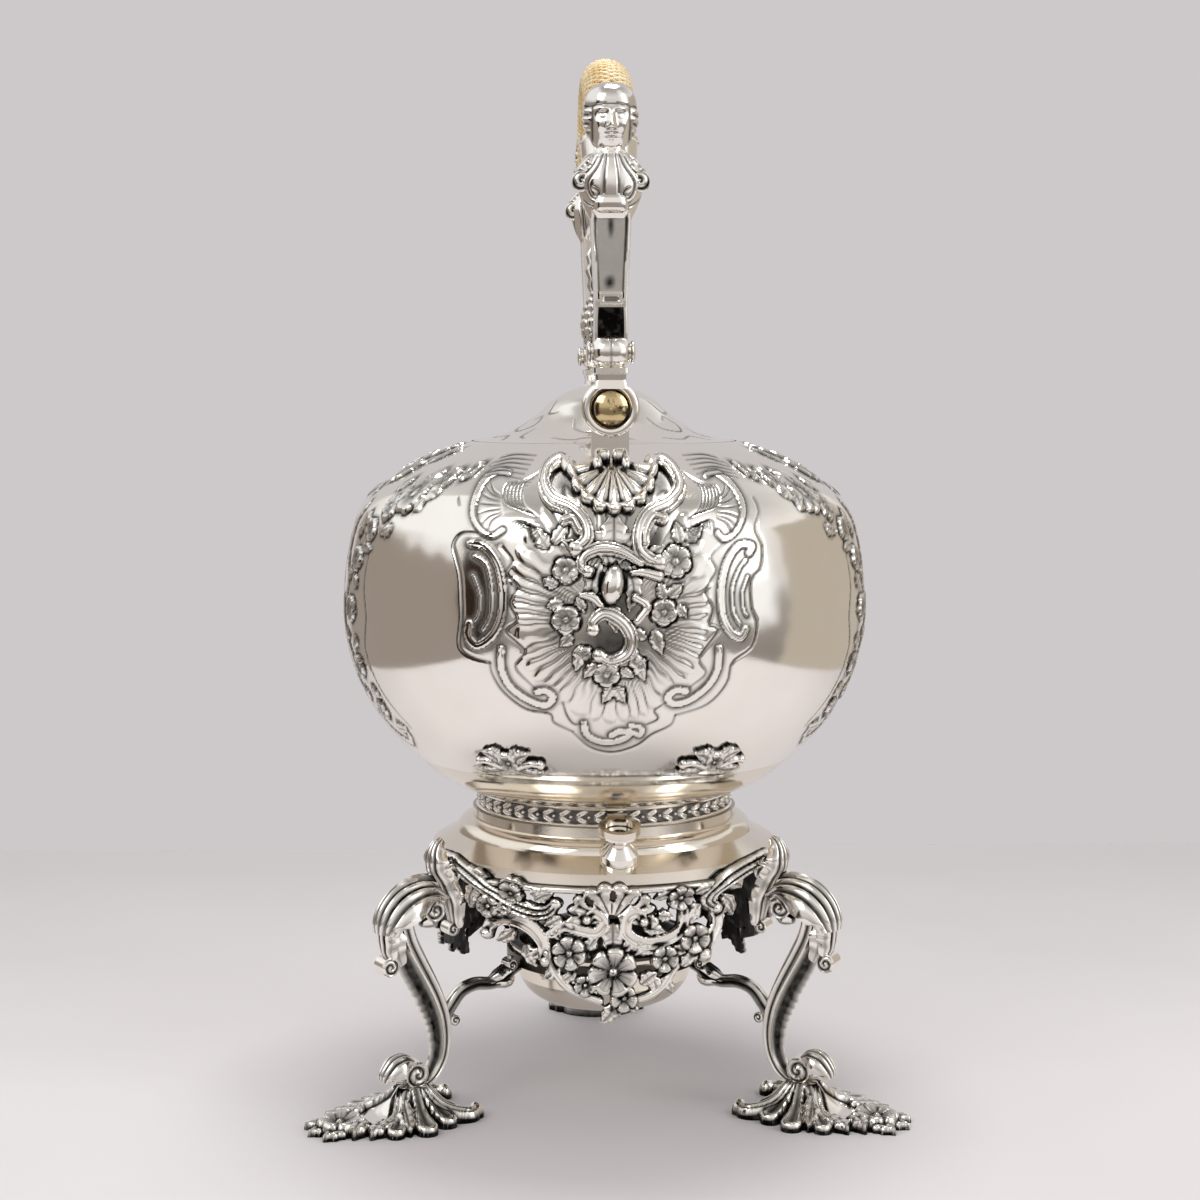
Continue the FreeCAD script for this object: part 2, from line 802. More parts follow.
def foot_shape():
    """Cast foot: lobed plate, mound under the ankle, leaf ribs and a flower."""
    inner = mm.foot_inner_reach
    length = mm.foot_outer_reach - inner
    half = mm.foot_half_width
    plate = mm.foot_plate
    shapes = []
    for along, aside, share in FOOT_LOBES:
        for turn in ((1, -1) if aside else (1,)):
            spot = V(inner + length * along, turn * half * aside, 0)
            shapes.append(Part.makeCylinder(half * share, plate, spot))
            if aside:
                shapes.append(foot_rib(spot, half * share))
    top = mm.foot_top_height
    rings = []
    for height, radius in ((0.0, 0.78), (0.35, 0.56), (0.7, 0.34), (1.0, 0.0)):
        circle = Part.Circle(V(mm.ankle_reach, 0, top * height), UP, max(half * radius, mm.foot_top_radius))
        rings.append(Part.Wire(circle.toShape()))
    shapes.append(Part.makeLoft(rings, True, True))
    flower_spot = V(inner + length * 0.78, 0, 0)
    shapes.append(Part.makeCylinder(mm.foot_flower_radius * 0.4, plate * 2.6, flower_spot))
    for index in range(6):
        petal = polar(index * 60, mm.foot_flower_radius * 0.62)
        spot = flower_spot + V(petal.x, petal.z, 0)
        shapes.append(Part.makeCylinder(mm.foot_flower_radius * 0.36, plate * 2.1, spot))
    return one_solid(joined(shapes))


def foot_rib(lobe, radius):
    """A leaf rib that falls from the mound to the middle of a lobe."""
    crest = V(mm.ankle_reach, 0, mm.foot_top_height * 0.62)
    end = lobe + V(0, 0, mm.foot_plate * 0.5)
    run = end - crest
    rib = Part.makeCone(mm.foot_plate * 0.9, radius * 0.5, run.Length, crest, run)
    ground = Part.makeBox(400, 400, 50, V(-200, -200, -50))
    return rib.cut(ground)


def legs_and_feet():
    """Three legs and three feet, the same casting turned about the axis."""
    leg = leg_shape()
    foot = foot_shape()
    for side, turn in LEG_TURNS.items():
        made(f"leg_{side}", leg, turn)
        made(f"foot_{side}", foot, turn)
    return leg


def lamp_arms(leg):
    """Scrolled arms from the legs to the ring that carries the lamp."""
    ring = mm.lamp_ring_outer + mm.solder_gap
    ring_middle = mm.lamp_ring_height - mm.lamp_ring_depth / 2
    radius = mm.arm_radius
    start = (mm.waist_reach + mm.calf_reach) / 2
    rise = ring_middle - mm.arm_height
    stops = (
        (start, mm.arm_height - 2.0, 150, 1.0),
        (start - (start - ring) * 0.3, mm.arm_height + rise * 0.42, 140, 0.86),
        (start - (start - ring) * 0.62, mm.arm_height + rise * 0.9, 160, 0.8),
        (ring - 2.0, ring_middle, 180, 0.8),
    )
    rings = []
    for reach, height, heading, share in stops:
        ahead = polar(heading, 1.0)
        circle = Part.Circle(V(reach, 0, height), ahead, radius * share)
        rings.append(Part.Wire(circle.toShape()))
    bar = Part.makeLoft(rings, True, False)
    bud = Part.makeSphere(radius * 1.15, V(start - 7.0, 0, mm.arm_height - 2.5))
    leaf = Part.makeSphere(radius * 1.3, V(ring + 2.2, 0, ring_middle))
    round_end = Part.makeCylinder(ring, 40, V(0, 0, ring_middle - 20))
    shape = one_solid(bar.fuse([bud, leaf]).cut([round_end, leg]))
    for side, turn in LEG_TURNS.items():
        made(f"lamp_arm_{side}", shape, turn)


def lamp_ring():
    """Plain ring that the lamp drops into."""
    low = -size.lamp_ring_depth
    corners = [
        (size.lamp_ring_inner, low),
        (size.lamp_ring_outer, low),
        (size.lamp_ring_outer, 0),
        (size.lamp_ring_inner, 0),
    ]
    keep(turned("lamp_ring", corners, size.lamp_ring_height))


# lamp

def lamp():
    """Spirit lamp: bowl with a flange, domed cover, burner tube and wick."""
    wall = size.lamp_wall
    edge = size.lamp_flange_edge
    low = -size.lamp_depth
    bend = low + size.lamp_bottom_arc * 0.66
    inner = size.lamp_radius - wall
    bowl = [
        (0, low),
        (size.lamp_bottom_radius, low, size.lamp_bottom_arc, LEFT),
        (size.lamp_radius, bend),
        (size.lamp_radius, 0),
        (size.lamp_flange, 0),
        (size.lamp_flange, edge),
        (inner, edge),
        (inner, bend, size.lamp_bottom_arc - wall, RIGHT),
        (size.lamp_bottom_radius, low + wall),
        (0, low + wall),
    ]
    keep(turned("lamp_bowl", bowl, size.lamp_ring_height))
    dome = size.lamp_radius * 1.7
    crest = edge + size.lamp_cover_rise
    collar = size.burner_flange + size.pin_clearance
    cover = [
        (inner, edge),
        (size.lamp_flange, edge),
        (size.lamp_flange, edge + wall),
        (size.lamp_radius, edge + wall, dome, LEFT),
        (collar, crest),
        (collar, crest - wall),
        (inner, edge + wall * 0.5),
    ]
    keep(turned("lamp_cover", cover, size.lamp_ring_height))
    bore = size.burner_radius - size.burner_wall
    top = size.burner_height
    burner = [
        (bore, low * 0.5),
        (size.burner_radius, low * 0.5),
        (size.burner_radius, crest - wall),
        (size.burner_flange, crest - wall),
        (size.burner_flange, crest),
        (size.burner_radius, crest + wall),
        (size.burner_radius, top),
        (bore, top),
    ]
    keep(turned("burner_tube", burner, size.lamp_ring_height))
    wick_radius = bore - size.moving_gap
    wick_low = low + wall + size.solder_gap
    wick = [
        (0, wick_low),
        (wick_radius, wick_low),
        (wick_radius, top + size.wick_rise * 0.5),
        (0, top + size.wick_rise),
    ]
    keep(turned("wick", wick, size.lamp_ring_height))


# kettle

def body_arcs():
    """Centres of the body's four arcs: bowl, belly, shoulder and crown."""
    bowl = (size.body_radius - size.bowl_arc, size.belly_height)
    belly = (size.body_radius - size.belly_arc, size.belly_height)
    first = size.belly_arc - size.shoulder_arc
    shoulder = (
        belly[0] + first * cosine(size.shoulder_start),
        belly[1] + first * sine(size.shoulder_start),
    )
    second = size.shoulder_arc - size.crown_arc
    crown = (
        shoulder[0] + second * cosine(size.shoulder_end),
        shoulder[1] + second * sine(size.shoulder_end),
    )
    return bowl, belly, shoulder, crown


def on_arc(centre, radius, reach):
    """Height of the upper half of an arc at a reach from the axis."""
    aside = size_of(reach) - centre[0]
    return centre[1] + root(radius * radius - aside * aside)


def size_of(value):
    """A size, also for a plain number."""
    return value if isinstance(value, Size) else Size(value, repr(float(value)))


def body_line(offset, floor, mouth):
    """The body's outline from floor to mouth, a distance outside its outer face."""
    bowl, belly, shoulder, crown = body_arcs()
    bowl_radius = size.bowl_arc + offset
    belly_radius = size.belly_arc + offset
    shoulder_radius = size.shoulder_arc + offset
    crown_radius = size.crown_arc + offset
    drop = bowl[1] - floor
    foot = bowl[0] + root(bowl_radius * bowl_radius - drop * drop)
    corners = [
        (foot, size_of(floor), bowl_radius, LEFT),
        (size.body_radius + offset, belly[1], belly_radius, LEFT),
    ]
    start, end = size.shoulder_start, size.shoulder_end
    for angle, radius in ((start, shoulder_radius), (end, crown_radius)):
        reach = shoulder[0] + shoulder_radius * cosine(angle)
        height = shoulder[1] + shoulder_radius * sine(angle)
        corners.append((reach, height, radius, LEFT))
    corners.append((size_of(mouth), on_arc(crown, crown_radius, mouth)))
    return corners


def backwards(corners):
    """The same line walked the other way."""
    walked = []
    for index in range(len(corners) - 1, -1, -1):
        point = corners[index][:2]
        before = corners[index - 1] if index else ()
        walked.append((*point, before[2], -before[3]) if len(before) > 2 else point)
    return walked


def body_form(gap):
    """The kettle's outer form filled in and grown by a gap, to fit what is soldered to it."""
    low = size.floor_height - gap
    line = body_line(gap, low, size.ledge_radius)
    corners = [(0, low)] + line + [(0, line[-1][1])]
    return drawn(corners).revolve(ORIGIN, UP, 360)


def body_blank(form):
    """That form as an object that other objects are cut with."""
    blank = doc.addObject("Part::Feature", "kettle_blank")
    blank.Shape = form
    blank.setExpression("Placement.Base.z", seat.text)
    return blank


def relief(inner, outer, low, high):
    """A skin that follows the body, between two distances from its face."""
    line = body_line(outer, size.floor_height, size.ledge_radius)
    under = body_line(inner, size.floor_height, size.ledge_radius)
    skin = drawn(line + backwards(under)).revolve(ORIGIN, UP, 360)
    reach = 2 * mm.body_radius
    window = Part.makeBox(2 * reach, reach, high - low, V(-reach, -reach, low))
    return skin.common(window)


def crown_height():
    """Height of the body where the lid's ledge steps down."""
    crown = body_arcs()[3]
    return on_arc(crown, size.crown_arc, size.ledge_radius)


def kettle_body():
    """Thin spun body with a ledge for the lid and strainer holes behind the spout."""
    wall = size.body_wall
    line = body_line(Size(0, "0"), size.floor_height, size.ledge_radius)
    ledge = crown_height() - size.ledge_depth
    step = size.ledge_radius + wall
    inside = backwards(body_line(-wall, size.floor_height + wall, step))
    corners = [(0, size.floor_height)] + line
    corners += [
        (size.ledge_radius, ledge),
        (size.mouth_radius, ledge),
        (size.mouth_radius, ledge - wall),
        (step, ledge - wall),
    ]
    corners += inside + [(0, size.floor_height + wall)]
    body = turned("kettle_body", corners, seat)
    holes = blank_sketch(body, "strainer_holes", "XZ_Plane")
    middle = size.spout_root_height
    spots = [(0, middle, size.strainer_hole_radius)]
    for index in range(6):
        angle = math.radians(index * 60)
        across = size.strainer_pitch * math.cos(angle)
        along = middle + size.strainer_pitch * math.sin(angle)
        spots.append((across, along, size.strainer_hole_radius))
    add_circles(holes, spots)
    pocket = body.newObject("PartDesign::Pocket", "strainer")
    pocket.Profile = holes
    pocket.setExpression("Length", (size.body_radius * 1.1).text)
    doc.recompute()
    if body.Shape.Solids[0].CenterOfMass.y > 0:
        raise RuntimeError("the strainer holes are on the wrong side of the kettle")
    return keep(body)


def laurel_band():
    """Foot ring with a row of overlapping husk leaves between two rims."""
    top = size.laurel_height
    rim = size.laurel_rim
    recess = size.laurel_radius - size.laurel_recess
    corners = [
        (size.laurel_inner, 0),
        (size.laurel_radius, 0),
        (size.laurel_radius, rim),
        (recess, rim),
        (recess, top - rim),
        (size.laurel_radius, top - rim),
        (size.laurel_radius, top),
        (size.laurel_inner, top),
    ]
    body = turned("laurel_band", corners, seat)
    half = size.laurel_radius * (0.94 * math.pi) / size.husk_count
    middle = top * 0.5
    bow = (half * half + size.husk_height * size.husk_height * 0.25) / size.husk_height
    husk = [(-half, middle, bow, LEFT), (half, middle, bow, LEFT)]
    start = recess - size.laurel_recess * 0.5
    leaf = outline(body, "husk", "XZ_Plane", husk, offset=start)
    pad = body.newObject("PartDesign::Pad", "husk_pad")
    pad.Profile = leaf
    pad.setExpression("Length", (size.husk_relief + size.laurel_recess * 0.3).text)
    doc.recompute()
    row = body.newObject("PartDesign::PolarPattern", "husk_row")
    row.Originals = [pad]
    axis = next(item for item in body.Origin.OriginFeatures if item.Role == "Z_Axis")
    row.Axis = (axis, [""])
    row.Angle = 360
    row.setExpression("Occurrences", "sizes.husk_count")
    body.Tip = row
    return keep(body)


def foot_molding():
    """Swelling molding between the laurel band and the floor of the kettle."""
    low = size.laurel_height
    high = size.floor_height
    wall = size.molding_wall
    rim = body_line(Size(0, "0"), high, size.ledge_radius)[0][0] - size.molding_inset
    corners = [
        (size.laurel_inner, low),
        (size.molding_foot_radius, low, size.molding_arc, LEFT),
        (rim, high),
        (rim - wall * 1.4, high, size.molding_arc - wall, RIGHT),
        (size.molding_foot_radius, low + wall),
        (size.laurel_inner, low + wall),
    ]
    keep(turned("foot_molding", corners, seat))


# one cast mount above the foot: leaf starts, leaf ends and widths, from its centre
MOUNT_LEAVES = (
    ((0.0, 0.0), (-12.0, 5.5), 5.0), ((0.0, 0.0), (12.0, 5.0), 5.0), ((-2.0, 1.0), (-4.0, 7.5), 4.6),
    ((2.0, 1.0), (5.0, 7.0), 4.6), ((-3.0, 1.0), (-11.0, 0.5), 3.6), ((3.0, 1.0), (11.0, 0.2), 3.6),
)


def foot_mounts():
    """Four leafy mounts on the body just above its foot, as one group."""
    low = mm.mount_height
    leaves = [disc(0, low + 2.2, 3.2)]
    for start, end, width in MOUNT_LEAVES:
        leaves.append(lens((start[0], low + start[1]), (end[0], low + end[1]), width))
    skin = relief(mm.solder_gap, mm.mount_relief, low - 1.0, low + 9.0)
    one = one_solid(joined(leaves).common(skin))
    turns = (mm.mount_turn, -mm.mount_turn, 180 + mm.mount_turn, 180 - mm.mount_turn)
    copies = [one.rotated(ORIGIN, UP, turn) for turn in turns]
    made("foot_mounts", Part.makeCompound(copies), 0, seat)


# rear escutcheon below its fan: scrolls and leaves from the fan's centre
ESCUTCHEON_SCROLLS = (
    ((-12.0, 2.0), (-7.5, -27.0), -9.0, 4.0), ((12.5, 2.0), (9.0, -27.0), 10.0, 4.0),
    ((-20.0, 5.0), (-13.0, -9.0), -3.5, 3.4), ((22.0, 5.0), (15.0, -9.0), 4.0, 3.4),
    ((-9.0, -24.0), (10.0, -25.0), 5.0, 3.6), ((-8.0, -30.0), (-7.0, -44.0), 5.0, 3.4),
    ((9.5, -29.0), (7.5, -45.0), -5.0, 3.4), ((-7.0, -44.0), (5.5, -56.0), -7.0, 3.8),
    ((7.5, -45.0), (3.0, -54.0), -3.0, 3.4), ((0.0, -14.0), (0.0, -26.0), 0.0, 5.0),
)
CABOCHON = (0.5, -35.5, 4.2, 6.4)


def escutcheon_shape(scrolls, with_cabochon):
    """Cast shell with scrolls, fitted to the body below a bail lug."""
    top = mm.escutcheon_top
    middle = top - mm.escutcheon_fan * 0.62
    low = middle - mm.escutcheon_length
    shapes = fan(0, middle, mm.escutcheon_fan, 200, 340, 7)
    shapes += fan(0, middle, mm.escutcheon_fan * 0.62, 20, 160, 5)
    for start, end, bow, width in scrolls:
        shapes += c_scroll((start[0], middle + start[1]), (end[0], middle + end[1]), bow, width)
    skin = relief(mm.solder_gap, mm.escutcheon_relief, low, top)
    cast = joined(shapes).common(skin)
    if with_cabochon:
        x, drop, half_width, half_height = CABOCHON
        stone = lens((x, middle + drop - half_height), (x, middle + drop + half_height), 2 * half_width)
        web = lens((x, middle + drop - 2 * half_height), (x, middle + drop + 2 * half_height), half_width)
        thick = relief(mm.solder_gap, mm.escutcheon_relief * 1.7, low, top)
        cast = cast.fuse([stone.common(thick), web.common(skin)])
    return one_solid(cast)


def escutcheons():
    """Rear escutcheon with its scrolls, and the shell alone above the spout."""
    shapes = {"rear": escutcheon_shape(ESCUTCHEON_SCROLLS, True), "front": escutcheon_shape((), False)}
    for side, turn in SIDE_TURNS.items():
        made(f"escutcheon_{side}", one_solid(shapes[side].cut(lug_blocker())), turn, seat)


# chased border of the rear cartouche: start, end, bow and width of each scroll, heights over the seat
CARTOUCHE_SCROLLS = (
    ((-36.0, 125.0), (-37.0, 106.0), -9.5, 2.2), ((33.5, 124.3), (35.5, 105.0), 9.0, 2.2),
    ((-47.0, 101.5), (-47.5, 72.5), 10.7, 3.0), ((46.0, 100.5), (43.5, 72.0), -9.0, 3.0),
    ((-37.0, 67.5), (-22.0, 50.5), -6.0, 2.6), ((35.0, 67.5), (20.0, 51.0), 5.5, 2.6),
    ((-9.8, 42.5), (8.0, 40.8), -5.4, 2.4),
)
FLUTES = 17
# chased garland of each side, drawn on the unrolled face and repeated in mirror image
GARLAND_SCROLLS = (
    ((27.0, 112.5), (23.0, 79.5), -4.5, 3.0), ((19.0, 76.0), (26.0, 44.5), -0.8, 3.0),
    ((30.0, 37.5), (51.0, 32.5), -4.4, 2.4), ((21.0, 116.5), (4.0, 117.5), -0.7, 2.4),
)
GARLAND_FLOWERS = (
    (60.0, 117.0, 7.0), (50.5, 112.0, 4.6), (42.0, 104.0, 4.4), (34.5, 93.5, 4.6),
    (31.0, 75.5, 5.0), (33.0, 55.5, 4.4), (24.0, 123.5, 4.0),
)
GARLAND_LEAVES = (
    (55.0, 122.5, 20), (66.0, 111.5, 67), (57.0, 105.5, 208), (37.0, 110.5, 255),
    (28.0, 85.5, 83), (37.0, 83.5, 130), (26.0, 65.5, 177), (36.0, 65.5, 224),
)
LEAF_LENGTH = 7.0
LEAF_WIDTH = 4.0


def reach_at(height):
    """Reach of the body's face at a height over the seat."""
    line = body_line(size_of(0), size.floor_height, size.ledge_radius)
    arcs = (mm.bowl_arc, mm.belly_arc, mm.shoulder_arc, mm.crown_arc)
    index = sum(height > corner[1].value for corner in line[1:4])
    across, along = (part.value for part in body_arcs()[index])
    return across + math.sqrt(arcs[index] ** 2 - (height - along) ** 2)


def seen_from_side(along, height):
    """Where a point of a side's unrolled face lies, seen from that side."""
    return reach_at(height) * math.sin(along / mm.body_radius), height


def chased(forms):
    """Forms raised a little from the body, as one group of solids."""
    top = crown_height().value - mm.ledge_depth
    skin = relief(mm.solder_gap, mm.chasing_relief, mm.floor_height, top)
    return Part.makeCompound(joined(forms).common(skin).removeSplitter().Solids)


def cartouche():
    """Border and flutes of the rear cartouche."""
    forms = []
    for scroll in CARTOUCHE_SCROLLS:
        forms += c_scroll(*scroll)
    for index in range(FLUTES):
        angle = 165 + index * 210 / (FLUTES - 1)
        ends = [polar(angle, reach) for reach in (mm.flute_inner, mm.flute_outer)]
        forms.append(lens(*((end.x, mm.chasing_hub + end.z) for end in ends), mm.flute_width))
    return forms


def garland():
    """Scrolls, flowers and leaves of one side."""
    forms = []
    for hand in (1, -1):
        for start, end, bow, width in GARLAND_SCROLLS:
            start, end = (seen_from_side(hand * along, height) for along, height in (start, end))
            forms += c_scroll(start, end, hand * bow, width)
        for along, height, radius in GARLAND_FLOWERS:
            forms += flower(*seen_from_side(hand * along, height), radius)
        for along, height, heading in GARLAND_LEAVES:
            tip = polar(heading, LEAF_LENGTH)
            start = seen_from_side(hand * along, height)
            end = seen_from_side(hand * (along + tip.x), height + tip.z)
            forms.append(lens(start, end, LEAF_WIDTH))
    return forms


def chasing():
    """Low relief that is chased on the rear and the sides of the body."""
    side = chased(garland())
    made("chasing_rear", chased(cartouche()), 0, seat)
    made("chasing_right", side, 90, seat)
    made("chasing_left", side.copy(), -90, seat)


def lug_blocker():
    """Room that a bail lug takes, with its soldering gap."""
    gap = mm.solder_gap
    width = mm.lug_width + 2 * gap
    deep = mm.lug_thickness + 2 * gap
    corner = V(-width / 2, -mm.lug_reach - deep / 2, 0)
    return Part.makeBox(width, deep, mm.pivot_height, corner)


def lugs(blank):
    """Upright lugs on the shoulder that the bail's pins pass through."""
    half = size.lug_width * 0.5
    low = size.pivot_height - size.lug_width * 1.8
    corners = [
        (-half, low),
        (half, low),
        (half, size.pivot_height, half, LEFT),
        (0, size.pivot_height + half, half, LEFT),
        (-half, size.pivot_height),
    ]
    hole = [(0, size.pivot_height, size.pin_radius + size.pin_clearance * 0.4)]
    inner = size.lug_reach - size.lug_thickness * 0.5
    for side, turn in SIDE_TURNS.items():
        body = doc.addObject("PartDesign::Body", f"lug_blank_{side}")
        face = outline(body, f"lug_face_{side}", "XZ_Plane", corners, hole, inner)
        pad = body.newObject("PartDesign::Pad", f"lug_pad_{side}")
        pad.Profile = face
        pad.setExpression("Length", size.lug_thickness.text)
        body.Placement = FreeCAD.Placement(ORIGIN, FreeCAD.Rotation(UP, turn))
        body.setExpression("Placement.Base.z", seat.text)
        cut = doc.addObject("Part::Cut", f"handle_lug_{side}")
        cut.Base = body
        cut.Tool = blank
        keep(cut)


def bail_pins():
    """Headed pins fixed in the lugs, on which the bail turns."""
    inner = size.lug_reach - size.lug_thickness * 0.5 - size.solder_gap
    outer = size.lug_reach + size.lug_thickness * 0.5
    head = outer + size.boss_thickness + size.moving_gap * 2
    edge = head + size.pin_head_rise * 0.3
    corners = [
        (0, inner - size.pin_tail_height),
        (size.pin_tail_radius * 0.7, inner - size.pin_tail_height),
        (size.pin_tail_radius, inner),
        (size.pin_radius, inner),
        (size.pin_radius, head),
        (size.pin_head_radius, head),
        (size.pin_head_radius, edge, cap_radius(size.pin_head_radius, size.pin_head_rise * 0.7), LEFT),
        (0, edge + size.pin_head_rise * 0.7),
    ]
    for side, turn in SIDE_TURNS.items():
        pin = turned(f"bail_pin_{side}", corners)
        lie = FreeCAD.Rotation(UP, turn).multiply(FreeCAD.Rotation(V(1, 0, 0), 90))
        pin.Placement = FreeCAD.Placement(ORIGIN, lie)
        pin.setExpression("Placement.Base.z", (seat + size.pivot_height).text)
        keep(pin)


def kettle_eyes():
    """Eyes on the kettle's foot, over the locking pin sockets."""
    low = mm.socket_height + mm.moving_gap
    tall = mm.eye_thickness
    ring = Part.makeCylinder(mm.eye_outer_radius, tall, V(0, 0, low))
    tongue = Part.makeBox(mm.eye_tongue_width, 2.6 * mm.eye_outer_radius, tall,
                          V(-mm.eye_tongue_width / 2, 0, low))
    hole = Part.makeCylinder(mm.eye_hole_radius, tall * 3, V(0, 0, low - tall))
    shape = ring.fuse(tongue).cut(hole)
    shape.Placement = socket_frame(0)
    seat_height = mm.collar_base + mm.collar_rise
    reach = mm.laurel_radius + mm.husk_relief * 0.5 + mm.solder_gap
    band = Part.makeCylinder(reach, mm.laurel_height * 4, V(0, 0, seat_height - mm.laurel_height))
    shape = one_solid(shape.cut(band))
    for side, turn in SIDE_TURNS.items():
        made(f"kettle_eye_{side}", shape, turn)


def spout(form):
    """Swan-necked spout, hollow from its root on the belly to its lip."""
    root_reach = mm.body_radius * 0.8
    run = mm.spout_tip_reach - root_reach
    rise = mm.spout_tip_height - mm.spout_root_height
    wide = mm.spout_root_radius
    tip = mm.spout_tip_radius
    # share of the run, share of the rise, heading in degrees, share from root to tip radius
    stops = (
        (0.0, 0.0, 12, 0.0), (0.34, 0.1, 30, 0.2), (0.56, 0.3, 58, 0.48), (0.66, 0.54, 74, 0.78),
        (0.77, 0.78, 60, 1.0), (1.0, 1.0, 40, 1.06),
    )
    outer = []
    inner = []
    for index, (along, up, heading, share) in enumerate(stops):
        centre = V(0, root_reach + run * along, mm.spout_root_height + rise * up)
        turn = math.radians(heading)
        ahead = V(0, math.cos(turn), math.sin(turn))
        radius = wide + (tip - wide) * share
        outer.append(ring_at(centre, ahead, radius))
        stretch = {0: -1.0, len(stops) - 1: 1.0}.get(index, 0.0)
        inner.append(ring_at(centre + ahead * stretch, ahead, radius - mm.spout_wall))
    shell = Part.makeLoft(outer, True, False).cut(Part.makeLoft(inner, True, False))
    made("spout", one_solid(shell.cut(form)), 0, seat)


def ring_at(centre, ahead, radius):
    """A circle square to a heading, as a wire that starts on the same side each time."""
    circle = Part.Circle(ORIGIN, UP, radius).toShape()
    wire = Part.Wire(circle)
    turn = math.degrees(math.atan2(ahead.y, ahead.z))
    wire.Placement = FreeCAD.Placement(centre, FreeCAD.Rotation(V(1, 0, 0), -turn))
    return wire


# lid and its hinge

def lid_base():
    """Height of the lid's underside."""
    return crown_height() - size.ledge_depth + size.moving_gap


def lid_cover():
    """Spun ogee lid with a flat rim that drops into the ledge."""
    base = lid_base()
    rim = size.ledge_radius - size.lid_gap
    top = base + size.lid_rim
    wall = size.lid_wall
    slant = wall * math.sqrt(0.5)
    bend = (size.lid_bend_radius, top + size.lid_bend_rise)
    crest = top + size.lid_crest_rise
    hole = size.stud_radius + size.pin_clearance
    flange = size.mouth_radius - size.bezel_gap - size.bezel_wall
    corners = [
        (flange, base),
        (rim, base),
        (rim, top, size.lid_foot_arc, RIGHT),
        (*bend, size.lid_dome_arc, LEFT),
        (size.lid_crest_radius, crest),
        (hole, crest),
        (hole, crest - wall),
        (size.lid_crest_radius, crest - wall, size.lid_dome_arc - wall, RIGHT),
        (bend[0] - slant, bend[1] - slant, size.lid_foot_arc + wall, LEFT),
        (flange, top),
    ]
    keep(turned("lid_cover", corners, seat))


def lid_bezel():
    """Ring under the lid that keeps it centred in the mouth."""
    base = lid_base()
    outer = size.mouth_radius - size.bezel_gap
    inner = outer - size.bezel_wall
    low = base - size.bezel_depth
    keep(turned("lid_bezel", [(inner, low), (outer, low), (outer, base), (inner, base)], seat))


def finial():
    """Bud of overlapping tiers on a turned neck, held by a nut under the lid."""
    crest = lid_base() + size.lid_rim + size.lid_crest_rise
    foot = crest + size.solder_gap
    neck = size.finial_neck_radius
    bud = crest + size.finial_neck_height
    stud_end = crest - size.lid_wall - size.nut_height * 1.4
    corners = [
        (0, stud_end),
        (size.stud_radius, stud_end),
        (size.stud_radius, foot),
        (size.finial_foot_radius, foot),
        (size.finial_foot_radius, foot + size.finial_neck_height * 0.12, size.finial_neck_height, RIGHT),
        (neck, crest + size.finial_neck_height * 0.6, size.finial_neck_height, RIGHT),
    ]
    tiers = 5
    for index in range(tiers):
        share = index / tiers
        swell = max(math.sin(math.pi * share ** 0.8), 0.36 if index == 0 else 0.0)
        height = bud + size.bud_height * share
        half = size.bud_radius * swell
        last = index == tiers - 1
        arc = cap_radius(half, size.bud_height / tiers) if last else size.bud_height * 0.24
        corners.append((half, height, arc, LEFT))
    corners.append((0, bud + size.bud_height))
    keep(turned("finial", corners, seat))
    nut_top = crest - size.lid_wall
    hole = size.stud_radius + size.pin_clearance
    nut = [
        (hole, nut_top - size.nut_height),
        (size.nut_radius * 0.85, nut_top - size.nut_height),
        (size.nut_radius, nut_top - size.nut_height * 0.6),
        (size.nut_radius, nut_top),
        (hole, nut_top),
    ]
    keep(turned("finial_nut", nut, seat))


def lid_hinge(form):
    """Three-knuckle hinge behind the rear lug: side knuckles, lid knuckle and pin."""
    back = -mm.ledge_radius - mm.hinge_setback
    height = float(crown_height()) + mm.hinge_rise
    half = mm.knuckle_length / 2
    gap = mm.moving_gap
    radius = mm.knuckle_radius
    side = mm.side_knuckle_length
    pin = mm.hinge_pin_radius
    along = V(1, 0, 0)

    def barrel(start, length, bore):
        outer = Part.makeCylinder(radius, length, V(start, back, height), along)
        return outer.cut(Part.makeCylinder(bore, length, V(start, back, height), along))

    fixed = []
    for start in (-half - gap - side, half + gap):
        foot = Part.makeBox(side, radius, radius * 2.4, V(start, back - radius, height - radius * 2.4))
        bore = Part.makeCylinder(pin, side, V(start, back, height), along)
        knuckle = barrel(start, side, pin + mm.pin_clearance * 0.4)
        fixed.append(one_solid(knuckle.fuse(foot.cut(bore)).cut(form)))
    made("hinge_knuckles", Part.makeCompound(fixed), 0, seat)
    leaf_low = float(lid_base()) + mm.lid_rim + mm.moving_gap
    leaf = Part.makeBox(mm.knuckle_length, mm.hinge_leaf, height + radius * 0.4 - leaf_low,
                        V(-half, back, leaf_low))
    bore = Part.makeCylinder(pin + mm.pin_clearance, mm.knuckle_length * 2, V(-2 * half, back, height), along)
    made("lid_knuckle", one_solid(barrel(-half, 2 * half, pin).fuse(leaf).cut(bore)), 0, seat)
    length = 2 * (half + gap + side)
    made("hinge_pin", Part.makeCylinder(pin, length, V(-length / 2, back, height), along), 0, seat)


# bail

